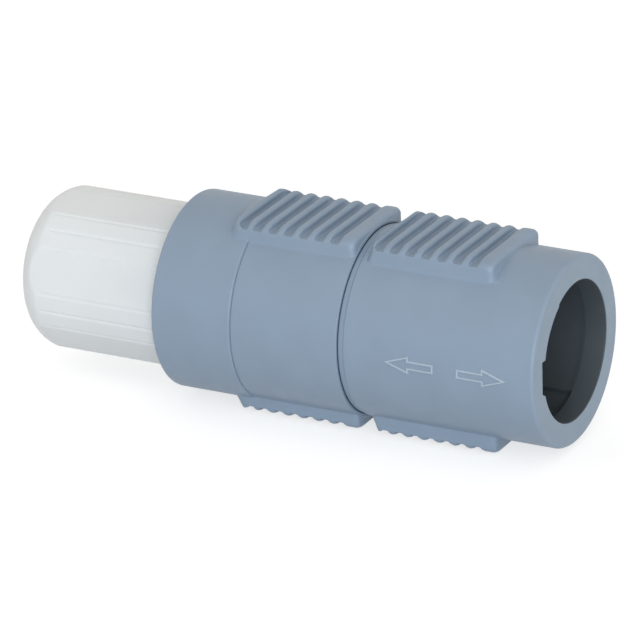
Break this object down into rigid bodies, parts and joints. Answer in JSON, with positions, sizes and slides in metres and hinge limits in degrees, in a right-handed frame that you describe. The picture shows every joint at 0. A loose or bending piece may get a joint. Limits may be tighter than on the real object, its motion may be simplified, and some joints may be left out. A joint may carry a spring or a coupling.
{
  "type": "push pull circular connector",
  "caption": "Cable mounted circular connector: a spring loaded ribbed sleeve with a keyed mouth, a ribbed rear shell and a screw on cable nut.",
  "frame": {"origin": "centre of the mating mouth, on the axis, in the plane of the front face", "axes": "+X out of the mouth along the connector's axis, +Z through the middle of the upper grip pads, -Y through the key slot and the arrows"},
  "size_m": [0.0658, 0.0224, 0.0228],
  "materials": {
    "housing": "fine moulded satin, blue grey",
    "inner_housing": "moulded, dark grey",
    "insulator": "moulded, black",
    "retainer": "moulded, natural",
    "interface_rubber": "soft silicone, dull",
    "seal_rubber": "moulded, dull black",
    "spring_steel": "drawn stainless wire",
    "contact": "turned, gold plated",
    "nylon": "moulded, natural white",
    "nut_nylon": "moulded, slightly translucent white"
  },
  "bodies": {
    "shell": {"rear_shell": "housing", "inner_barrel": "inner_housing", "stop_ring": "spring_steel", "return_spring": "spring_steel", "mating_seal": "seal_rubber", "barrel_seal": "seal_rubber", "interface_seal": "interface_rubber", "front_insulator": "insulator", "contact_retainer": "retainer", "rear_insulator": "insulator", "insert_clamp_ring": "inner_housing", "contact_01": "contact", "contact_02": "contact", "contact_03": "contact", "contact_04": "contact", "contact_05": "contact", "contact_06": "contact", "contact_07": "contact", "contact_08": "contact", "contact_09": "contact", "contact_10": "contact", "cable_grommet": "seal_rubber", "cable_collet": "nylon"},
    "sleeve": {"coupling_sleeve": "housing"},
    "clamp": {"clamp_ring": "nylon"},
    "nut": {"cable_nut": "nut_nylon"}
  },
  "joints": [
    {"name": "sleeve_slide", "type": "slide", "parent": "shell", "child": "sleeve", "axis": [-1, 0, 0], "range_m": [0, 0.0006], "stiffness_N_per_m": 1500, "springref_m": -0.003, "deforming": ["return_spring"]},
    {"name": "nut_travel", "type": "slide", "parent": "shell", "child": "clamp", "axis": [-1, 0, 0], "range_m": [0, 0.006]},
    {"name": "nut_spin", "type": "hinge", "parent": "clamp", "child": "nut", "pos_m": [-0.05, 0, 0], "axis": [-1, 0, 0], "range_deg": [0, 1440]}
  ],
  "couplings": [
    {"joint": "nut_travel", "follows": "nut_spin", "m_per_rad": 0.00023873}
  ]
}
